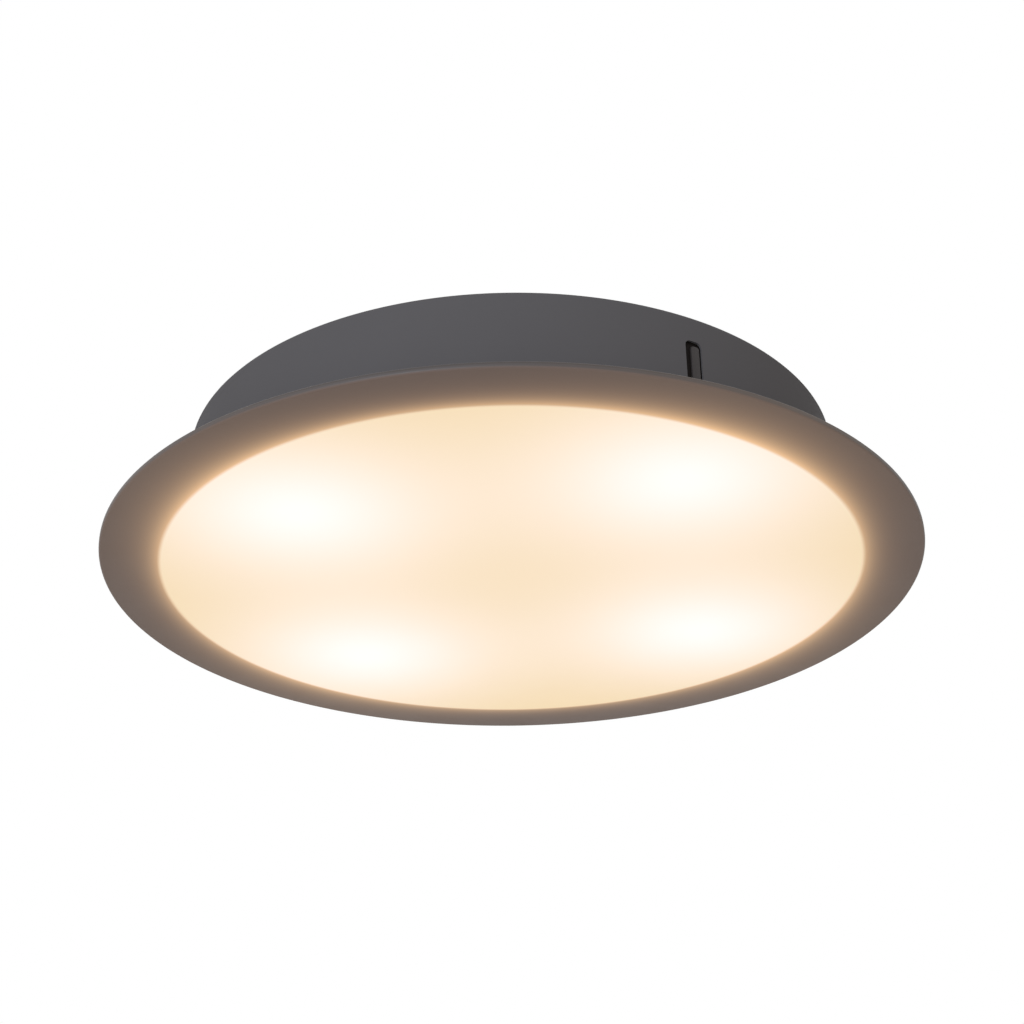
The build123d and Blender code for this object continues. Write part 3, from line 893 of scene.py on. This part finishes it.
@dataclass
class Drum:
    """Pressed drum against the ceiling, its brim and its cable grommet."""

    radius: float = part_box("housing")[1].x
    foot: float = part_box("housing")[0].z
    brim_radius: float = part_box("brim_ring")[1].x
    brim_edge: float = 0.25 * MM
    sheet: float = 1.0 * MM
    corner: float = 3.0 * MM
    rim_land: float = 9.0 * MM
    dish_depth: float = 2.0 * MM
    dish_bend: float = 1.05 * MM
    slot_width: float = 8.4 * MM
    slot_corner: float = 2.6 * MM
    slot_top: float = -13.6 * MM
    slot_reach: float = 3 * MM
    slot_angles: tuple[float, ...] = (59.9, 179.9, 299.9)
    bolt_circle: float = 100 * MM
    bolt_angles: tuple[float, ...] = (78.0, 168.0, 258.0, 348.0)
    bolt_hole: float = 2.75 * MM
    screw_spots: tuple[tuple[float, float, float], ...] = (
        (-7 * MM, 0, 1.55 * MM), (7 * MM, 0, 1.55 * MM), (0, 45 * MM, 2.05 * MM))
    inlet: tuple[float, float] = (40 * MM, -40 * MM)
    inlet_hole: float = 8 * MM
    grommet_bore: float = 5 * MM
    grommet_lip: float = 3 * MM
    grommet_top: float = 1.6 * MM
    grommet_low: float = 3 * MM
    grommet_rounds: tuple[float, ...] = (
        0.8 * MM, 1.2 * MM, 0.4 * MM, 0, 0, 0.3 * MM, 0.7 * MM, 0.6 * MM)

    def slot_tool(self, angle: float) -> bmesh.types.BMesh:
        """Shape of one upright slot, open at the foot.

        Args:
            angle: where it is round the drum, in degrees.

        Returns:
            The closed shape to cut out.
        """
        mesh = rounded_strip(self.slot_width, self.foot - self.sheet, self.slot_top,
                             self.radius - self.slot_reach, self.radius + self.slot_reach, self.slot_corner)
        return moved(mesh, turned(angle) @ UPRIGHT)

    def hole_tools(self) -> list[bmesh.types.BMesh]:
        """Shapes of the round holes in the ceiling plate.

        Returns:
            Closed bars to cut out.
        """
        bolts = [(*at_angle(self.bolt_circle, angle), self.bolt_hole) for angle in self.bolt_angles]
        spots = [*bolts, *self.screw_spots, (*self.inlet, self.inlet_hole)]
        low = -self.dish_depth - 2 * self.sheet
        return [moved(cylinder(radius, low, self.sheet), Matrix.Translation((x, y, 0)))
                for x, y, radius in spots]

    def shell(self) -> bpy.types.Object:
        """Press the drum: plate, dished field, corner and wall, painted white inside.

        Returns:
            The drum with its slots and holes.
        """
        dish = self.radius - self.rim_land
        line = drawn([(0.0, -self.dish_depth), (dish, -self.dish_depth), (dish + self.dish_depth, 0.0),
                      (self.radius, 0.0), (self.radius, self.foot)],
                     [0, self.dish_bend, self.dish_bend, self.corner, 0])
        mesh = spun(line)
        outside = set(mesh.faces)
        bmesh.ops.solidify(mesh, geom=mesh.faces[:], thickness=self.sheet)
        for face in mesh.faces:
            face.material_index = 0 if face in outside else 1
        piece = as_object(mesh, "drum_shell", [DRUM_PAINT, INNER_PAINT])
        cut_out(piece, joined([*map(self.slot_tool, self.slot_angles), *self.hole_tools()]))
        return fitted(piece, Body.FIXTURE.value, Slot.DRUM_PAINT, "housing")

    def brim(self) -> bpy.types.Object:
        """Flat ring round the drum's foot.

        Returns:
            The ring.
        """
        mesh = ring_section(self.radius, self.brim_radius, self.foot, self.foot + self.sheet, self.brim_edge)
        piece = as_object(mesh, "drum_brim", [DRUM_PAINT])
        return fitted(piece, Body.FIXTURE.value, Slot.DRUM_PAINT, "brim_ring")

    def grommet(self) -> bpy.types.Object:
        """Rubber grommet with rolled lips in the cable inlet.

        Returns:
            The grommet.
        """
        lip = self.inlet_hole + self.grommet_lip
        top = -self.dish_depth
        under = top - self.sheet
        low, high = under - self.grommet_low, top + self.grommet_top
        corners = [(self.grommet_bore, low), (lip, low), (lip, under), (self.inlet_hole, under),
                   (self.inlet_hole, top), (lip, top), (lip, high), (self.grommet_bore, high)]
        mesh = spun(drawn(corners, self.grommet_rounds, closed=True), SMALL_STEPS)
        moved(mesh, Matrix.Translation((*self.inlet, 0)))
        piece = as_object(mesh, "inlet_grommet", [BLACK_RUBBER])
        return fitted(piece, Body.FIXTURE.value, Slot.BLACK_RUBBER, "cable_grommet")

    def build(self) -> None:
        """Build every piece of the drum."""
        self.shell()
        self.brim()
        self.grommet()


@dataclass
class LampPlaces:
    """Where the lamps lie: a pinwheel round the axis, each along its own tangent."""

    circle: float = 125 * MM
    level: float = -22 * MM
    start: float = 36.4
    count: int = 4

    def angles(self) -> list[float]:
        """Angle of each lamp in degrees."""
        return [self.start + number * FULL_TURN / self.count for number in range(self.count)]

    def spots(self) -> tuple[tuple[float, float], ...]:
        """Place of each lamp seen from below."""
        return tuple(at_angle(self.circle, angle) for angle in self.angles())

    def place(self, angle: float) -> Matrix:
        """Place of one lamp: its own z runs from its holder to its tip, its x points outward.

        Args:
            angle: the lamp's angle in degrees.

        Returns:
            Matrix from the lamp's own coordinates to the light's.
        """
        lying = Matrix(((1, 0, 0, self.circle), (0, 0, 1, 0), (0, -1, 0, self.level), (0, 0, 0, 1)))
        return turned(angle) @ lying


@dataclass
class Diffuser:
    """Glass disc, its carrier ring, bond, gasket and the clips' feet."""

    lamps: LampPlaces
    glass_radius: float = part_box("glass_disc")[1].x
    glass_low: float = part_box("glass_disc")[0].z
    glass_high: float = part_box("glass_disc")[1].z
    glass_edge: float = 1.0 * MM
    lit_radius: float = 172 * MM
    carrier_radius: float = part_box("carrier_ring")[1].x
    carrier_low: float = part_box("carrier_ring")[0].z
    carrier_high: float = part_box("carrier_ring")[1].z
    flange_radius: float = 162.4 * MM
    sheet: float = 1.0 * MM
    carrier_rounds: tuple[float, ...] = (0, 1.0 * MM, 2.0 * MM, 0)
    bond_inner: float = 174 * MM
    bond_edge: float = 0.2 * MM
    gasket_inner: float = 164 * MM
    gasket_outer: float = 173 * MM
    gasket_edge: float = 0.5 * MM

    def glass(self) -> bpy.types.Object:
        """Flat disc with a rounded edge.

        Returns:
            The disc.
        """
        mesh = cylinder(self.glass_radius, self.glass_low, self.glass_high, self.glass_edge, RING_STEPS)
        # The disc's glow is painted light in its material.
        finish = LitGlass("lit opal glass", self.lit_radius, self.glass_radius, self.glass_low,
                          self.lamps.spots())
        piece = as_object(mesh, "opal_disc", [finish])
        return fitted(piece, Body.DIFFUSER.value, Slot.OPAL_GLASS, "glass_disc")

    def carrier(self) -> bpy.types.Object:
        """Sheet ring with a foot on the glass, a web and a flange under the brim.

        Returns:
            The ring.
        """
        foot = self.carrier_low + self.sheet
        web = self.lit_radius + self.sheet
        corners = [(self.carrier_radius, foot), (web, foot), (web, self.carrier_high),
                   (self.flange_radius, self.carrier_high)]
        mesh = spun(drawn(corners, self.carrier_rounds))
        if all(face.normal.z < MERGE for face in mesh.faces):
            bmesh.ops.reverse_faces(mesh, faces=mesh.faces)
        bmesh.ops.solidify(mesh, geom=mesh.faces[:], thickness=self.sheet)
        piece = as_object(mesh, "carrier", [WHITE_PAINT])
        return fitted(piece, Body.DIFFUSER.value, Slot.WHITE_PAINT, "carrier_ring")

    def seals(self) -> None:
        """Bond line on the glass and foam gasket under the brim."""
        bond = (self.bond_inner, self.carrier_radius, self.bond_edge)
        foam = (self.gasket_inner, self.gasket_outer, self.gasket_edge)
        made: list[tuple[str, tuple[float, float, float], Finish, Slot, str]] = [
            ("bond_line", bond, CLEAR_BOND, Slot.CLEAR_BOND, "bond_ring"),
            ("foam_gasket", foam, GREY_FOAM, Slot.GREY_FOAM, "light_gasket"),
        ]
        for name, (inner, outer, edge), finish, slot, node in made:
            low, high = (corner.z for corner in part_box(node))
            piece = as_object(ring_section(inner, outer, low, high, edge), name, [finish])
            fitted(piece, Body.DIFFUSER.value, slot, node)

    def build(self) -> None:
        """Build the glass and its ring, and dress the clips' feet."""
        self.glass()
        self.carrier()
        self.seals()
        dress_node("clip_feet", BLADE_STEEL)
        dress_node("clip_rivets", ZINC)


@dataclass
class SpringClip:
    """Blade of one spring clip behind its slot, with the rib that slides in the slot."""

    number: int
    angle: float
    outer: float = 159.4 * MM
    thickness: float = 0.8 * MM
    width: float = 16 * MM
    corner: float = 3 * MM
    low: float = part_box("clip_blade_1")[0].z
    high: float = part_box("clip_blade_1")[1].z
    rib_width: float = 4.3 * MM
    rib_corner: float = 1.3 * MM
    rib_edge: float = 0.6 * MM
    rib_shift: float = 1.2 * MM
    rib_low: float = -50 * MM
    rib_high: float = -15.6 * MM
    rib_outer: float = 160.7 * MM

    def plate(self) -> bmesh.types.BMesh:
        """Flat blade with rounded upper corners."""
        inner = self.outer - self.thickness
        return rounded_strip(self.width, self.low, self.high, inner, self.outer, self.corner)

    def rib(self) -> bmesh.types.BMesh:
        """Upright rib with softened edges, standing out from the blade.

        Returns:
            The rib, rooted in the blade.
        """
        mesh = rounded_strip(self.rib_width, self.rib_low, self.rib_high, self.outer - self.thickness / 2,
                             self.rib_outer, self.rib_corner)
        front = [edge for edge in mesh.edges if all(self.rib_outer - end.co.z < MERGE for end in edge.verts)]
        softened(mesh, front, self.rib_edge, EDGE_STEPS)
        bmesh.ops.translate(mesh, vec=(self.rib_shift, 0, 0), verts=mesh.verts)
        # The rib takes the lighter steel: painted light on the part that stands forward in the slot.
        for face in mesh.faces:
            face.material_index = 1
        return mesh

    def build(self) -> None:
        """Build the blade with its rib on its own body."""
        mesh = moved(joined([self.plate(), self.rib()]), turned(self.angle) @ UPRIGHT)
        piece = as_object(mesh, f"spring_blade_{self.number}", [BLADE_STEEL, LIT_RIB_STEEL])
        fitted(piece, f"clip_{self.number}", Slot.SPRING_STEEL, f"clip_blade_{self.number}")


@dataclass
class Lamp:
    """One plug-in lamp: pins, ribbed base, frosted cover and its board."""

    number: int
    place: Matrix
    cover_radius: float = 8 * MM
    cover_wall: float = 1 * MM
    cover_foot: float = -17 * MM
    cover_shoulder: float = 17 * MM
    base_radius: float = 8.6 * MM
    base_back: float = -30 * MM
    base_rounds: tuple[float, ...] = (
        0, 0.8 * MM, 0.2 * MM, 0, 0, 0.2 * MM, 0.6 * MM, 0, 0.3 * MM, 0)
    plug_end: float = -14 * MM
    plug_gap: float = 0.05 * MM
    grip_inset: float = 2.5 * MM
    grip_margin: float = 2 * MM
    rib_count: int = 20
    rib_depth: float = 0.35 * MM
    rib_radius: float = 0.45 * MM
    rib_edge: float = 0.2 * MM
    pin_radius: float = 1.2 * MM
    pin_spacing: float = 9 * MM
    pin_end: float = -45 * MM
    pin_edge: float = 0.5 * MM

    def cover(self) -> bmesh.types.BMesh:
        """Frosted tube with a domed end.

        Returns:
            The closed shell of the cover.
        """
        inner = self.cover_radius - self.cover_wall
        tip = self.cover_shoulder + self.cover_radius
        corners = [(0.0, tip - self.cover_wall), (inner, tip - self.cover_wall), (inner, self.cover_foot),
                   (self.cover_radius, self.cover_foot), (self.cover_radius, tip), (0.0, tip)]
        return spun(drawn(corners, [0, inner, 0, 0, self.cover_radius, 0]), SMALL_STEPS)

    def base(self) -> bmesh.types.BMesh:
        """Round base with grip ribs and softened ends.

        Returns:
            The closed base with the plug that holds the cover.
        """
        plug = self.cover_radius - self.cover_wall - self.plug_gap
        grip_low = self.base_back + self.grip_inset
        grip_high = self.cover_foot - self.grip_margin
        valley = self.base_radius - self.rib_depth
        corners = [(0.0, self.base_back), (self.base_radius, self.base_back), (self.base_radius, grip_low),
                   (valley, grip_low + self.rib_depth), (valley, grip_high - self.rib_depth),
                   (self.base_radius, grip_high), (self.base_radius, self.cover_foot),
                   (plug, self.cover_foot), (plug, self.plug_end), (0.0, self.plug_end)]
        body = spun(drawn(corners, self.base_rounds), SMALL_STEPS)
        ribs = []
        for number in range(self.rib_count):
            rib = cylinder(self.rib_radius, grip_low, grip_high, self.rib_edge, RIB_STEPS)
            out = Matrix.Translation((self.base_radius - self.rib_radius, 0, 0))
            ribs.append(moved(rib, turned(number * FULL_TURN / self.rib_count) @ out))
        return joined([body, *ribs])

    def pins(self) -> bmesh.types.BMesh:
        """Two round pins with softened ends."""
        return paired(self.pin_spacing, self.pin_radius, self.pin_end, self.base_back, self.pin_edge)

    def build(self) -> None:
        """Build the lamp's pieces on its own body and dress its board."""
        made: list[tuple[str, Callable[[], bmesh.types.BMesh], Finish, Slot, str]] = [
            ("frosted_cover", self.cover, LampGlow("glowing frosted cover"), Slot.LAMP_COVER, "lamp_cover"),
            ("ribbed_base", self.base, BASE_PLASTIC, Slot.LAMP_BASE, "lamp_base"),
            ("plug_pins", self.pins, PIN_STEEL, Slot.PIN_METAL, "lamp_pins"),
        ]
        for name, shape, finish, slot, node in made:
            piece = as_object(moved(shape(), self.place), f"{name}_{self.number}", [finish])
            fitted(piece, f"lamp_{self.number}", slot, f"{node}_{self.number}")
        dress_node(f"led_board_{self.number}", BOARD_MASK)


@dataclass
class Lampholder:
    """One ceramic lampholder and its bracket on the plate."""

    number: int
    place: Matrix
    radius: float = 10 * MM
    front: float = -30.3 * MM
    back: float = -54.3 * MM
    edge: float = 0.8 * MM
    groove_depth: float = 0.7 * MM
    groove_edge: float = 0.25 * MM
    groove_shares: tuple[float, ...] = (0.3, 0.6)
    hole_radius: float = 2.05 * MM
    hole_depth: float = 18 * MM
    hole_spacing: float = Lamp.pin_spacing

    def body(self) -> bmesh.types.BMesh:
        """Round holder with two turned grooves.

        Returns:
            The closed holder without its pin holes.
        """
        corners = [(0.0, self.back), (self.radius, self.back)]
        rounds = [0, self.edge]
        length = self.front - self.back
        valley = self.radius - self.groove_depth
        for share in self.groove_shares:
            middle = self.back + share * length
            corners += [(self.radius, middle - self.edge), (valley, middle - self.edge / 2),
                        (valley, middle + self.edge / 2), (self.radius, middle + self.edge)]
            rounds += [self.groove_edge, 0, 0, self.groove_edge]
        corners += [(self.radius, self.front), (0.0, self.front)]
        rounds += [self.edge, 0]
        return spun(drawn(corners, rounds), SMALL_STEPS)

    def build(self) -> None:
        """Build the holder on the fixture and dress its bracket."""
        piece = as_object(moved(self.body(), self.place), f"ceramic_holder_{self.number}", [CERAMIC])
        low, high = self.front - self.hole_depth, self.front + self.edge
        cut_out(piece, moved(paired(self.hole_spacing, self.hole_radius, low, high), self.place))
        fitted(piece, Body.FIXTURE.value, Slot.CERAMIC, f"lampholder_{self.number}")
        dress_node(f"lampholder_bracket_{self.number}", GALVANISED)


@dataclass
class Wiring:
    """Terminal block, leads, saddles and earth point under the plate."""

    lamps: LampPlaces
    lead_radius: float = 1.1 * MM
    lead_sides: int = 5
    lead_steps: int = 10
    lead_order: int = 3
    lead_crease: float = 60.0
    block_half: float = 10 * MM
    entry_depth: float = 4 * MM
    pole_pitch: float = 14 * MM
    entry_offset: float = 1.7 * MM
    pair_spacing: float = 4.8 * MM
    live_level: float = -6 * MM
    neutral_level: float = -9 * MM
    live_out: float = 13 * MM
    neutral_out: float = 10 * MM
    holder_back: float = Lampholder.back
    tail: float = 17 * MM
    corner_hold: float = 14 * MM
    earth_level: float = -12 * MM
    earth_end: Vector = Vector((0, 41.2 * MM, -4.95 * MM))
    earth_rise: float = 14 * MM
    earth_slope: float = 7 * MM

    def lamp_route(self, number: int, live: bool) -> list[Vector]:
        """Route of one lamp's lead from the block to its holder.

        Args:
            number: which lamp, counted from 0.
            live: the live lead, or else the neutral one.

        Returns:
            Points that the lead bends round.
        """
        face = 1 if number < self.lamps.count / 2 else -1
        turn_side = 1 if number in (0, self.lamps.count - 1) else -1
        pole = -self.pole_pitch if live else self.pole_pitch
        level = self.live_level if live else self.neutral_level
        out = self.live_out if live else self.neutral_out
        aside = self.pair_spacing / 2 if live else -self.pair_spacing / 2
        entry = pole + turn_side * self.entry_offset
        place = self.lamps.place(self.lamps.angles()[number])
        low_turn = place @ Vector((aside, 0, self.holder_back - self.tail))
        turn = Vector((low_turn.x, low_turn.y, level))
        leave = Vector((entry, face * (self.block_half + out), level))
        hold = turn + (leave - turn).normalized() * self.corner_hold
        start = Vector((entry, face * (self.block_half - self.entry_depth), level))
        return [start, leave, hold, turn, low_turn, place @ Vector((aside, 0, self.holder_back))]

    def earth_route(self) -> list[Vector]:
        """Route of the earth lead from the block to its tag.

        Returns:
            Points that the lead bends round.
        """
        start = self.block_half - self.entry_depth
        rise = self.block_half + self.earth_rise
        return [Vector((0, start, self.earth_level)), Vector((0, rise, self.earth_level)),
                Vector((0, rise + self.earth_slope, self.earth_end.z)), self.earth_end]

    def leads(self, name: str, routes: Sequence[Sequence[Vector]], finish: Finish, slot: Slot,
              node: str) -> None:
        """Draw leads of one colour as smooth round wires.

        Args:
            name: name of the piece.
            routes: points of each lead.
            finish: its insulation.
            slot: finish slot in the record.
            node: solids that they replace.
        """
        curve = bpy.data.curves.new(name, "CURVE")
        curve.dimensions = "3D"
        curve.bevel_depth = self.lead_radius
        curve.bevel_resolution = self.lead_sides
        curve.resolution_u = self.lead_steps
        curve.use_fill_caps = True
        for route in routes:
            spline = curve.splines.new("NURBS")
            spline.points.add(len(route) - 1)
            for point, spot in zip(spline.points, route):
                point.co = (*spot, 1.0)
            spline.order_u = self.lead_order
            spline.use_endpoint_u = True
        drawing = bpy.data.objects.new(name + "_line", curve)
        mesh = bmesh.new()
        mesh.from_mesh(bpy.data.meshes.new_from_object(drawing))
        bpy.data.objects.remove(drawing)
        bmesh.ops.remove_doubles(mesh, verts=mesh.verts, dist=MERGE)
        bmesh.ops.recalc_face_normals(mesh, faces=mesh.faces)
        fitted(as_object(mesh, name, [finish], self.lead_crease), Body.FIXTURE.value, slot, node)

    def build(self) -> None:
        """Build the leads and dress the block, its screws and the earth point."""
        numbers = range(self.lamps.count)
        live = [self.lamp_route(number, True) for number in numbers]
        neutral = [self.lamp_route(number, False) for number in numbers]
        self.leads("brown_leads", live, LIVE_SLEEVE, Slot.LIVE, "live_leads")
        self.leads("blue_leads", neutral, NEUTRAL_SLEEVE, Slot.NEUTRAL, "neutral_leads")
        self.leads("striped_lead", [self.earth_route()], EARTH_SLEEVE, Slot.EARTH, "earth_lead")
        for node in ("clamp_screws", "terminal_screws", "earth_screw", "holder_screws", "bracket_rivets"):
            dress_node(node, ZINC)
        for node in ("terminal_block", "lead_saddles"):
            dress_node(node, BLOCK_PLASTIC)
        dress_node("earth_tag", GALVANISED)
        dress_node("holder_contacts", BRASS)


@dataclass
class Studio:
    """Pale floor, soft light and the camera."""

    floor_level: float = -1.35
    floor_size: float = 60.0
    sky_strength: float = 0.66
    sky_colour: Colour = (1.0, 0.955, 0.915)
    key_colour: Colour = (0.80, 0.88, 1.0)
    key_place: Vector = Vector((-1.0, -2.2, -0.25))
    key_size: float = 1.4
    key_power: float = 34.0
    camera_place: Vector = Vector((0.0, -784.45 * MM, -431.6 * MM))
    camera_right: Vector = Vector((0.99992, 0.00555, -0.01133))
    camera_up: Vector = Vector((0.01261, -0.46125, 0.88718))
    focal_pixels: float = 1752.5
    image_pixels: float = 1024.0
    sensor: float = 36.0

    def floor(self) -> None:
        """Lay a plain pale floor well below the light."""
        mesh = bmesh.new()
        bmesh.ops.create_grid(mesh, x_segments=1, y_segments=1, size=self.floor_size / 2)
        bmesh.ops.translate(mesh, vec=(0, 0, self.floor_level), verts=mesh.verts)
        as_object(mesh, "studio_floor", [PALE_FLOOR])

    def sky(self) -> None:
        """Even, slightly warm light all round, with a white background for the eye, gloss and glass."""
        world = bpy.data.worlds.new("studio")
        bpy.context.scene.world = world
        world.use_nodes = True
        tree = world.node_tree
        backdrop = tree.nodes["Background"]
        backdrop.inputs["Color"].default_value = (*self.sky_colour, 1.0)
        backdrop.inputs["Strength"].default_value = self.sky_strength
        plain = tree.nodes.new("ShaderNodeBackground")
        plain.inputs["Color"].default_value = (*WHITE, 1.0)
        blend = tree.nodes.new("ShaderNodeMixShader")
        tree.links.new(plainly_seen(tree), blend.inputs[0])
        tree.links.new(backdrop.outputs[0], blend.inputs[1])
        tree.links.new(plain.outputs[0], blend.inputs[2])
        tree.links.new(blend.outputs[0], tree.nodes["World Output"].inputs["Surface"])

    def key_light(self) -> None:
        """Set a square soft light that faces the object."""
        light = bpy.data.lights.new("key light", "AREA")
        light.size = self.key_size
        light.energy = self.key_power
        light.color = self.key_colour
        stand = bpy.data.objects.new("key light", light)
        stand.location = self.key_place
        stand.rotation_euler = self.key_place.to_track_quat("Z", "Y").to_euler()
        bpy.context.scene.collection.objects.link(stand)

    def camera(self) -> None:
        """Set the camera at the photograph's viewing angle."""
        data = bpy.data.cameras.new("camera")
        data.sensor_width = self.sensor
        data.lens = self.focal_pixels / self.image_pixels * self.sensor
        right = self.camera_right.normalized()
        back = right.cross(self.camera_up).normalized()
        up = back.cross(right)
        stand = bpy.data.objects.new("camera", data)
        aim = Matrix((right, up, back)).transposed().to_4x4()
        stand.matrix_world = Matrix.Translation(self.camera_place) @ aim
        bpy.context.scene.collection.objects.link(stand)
        bpy.context.scene.camera = stand

    def build(self) -> None:
        """Set up floor, light and camera."""
        bpy.context.scene.view_settings.view_transform = "Standard"
        self.floor()
        self.sky()
        self.key_light()
        self.camera()


def main() -> None:
    """Build the light piece by piece, then the studio round it."""
    logging.basicConfig(level=logging.INFO, format="%(message)s")
    lamps = LampPlaces()
    drum = Drum()
    drum.build()
    Diffuser(lamps).build()
    for number, angle in enumerate(drum.slot_angles, start=1):
        SpringClip(number, angle).build()
    for number, angle in enumerate(lamps.angles(), start=1):
        Lamp(number, lamps.place(angle)).build()
        Lampholder(number, lamps.place(angle)).build()
    Wiring(lamps).build()
    Studio().build()


if __name__ == "__main__":
    main()
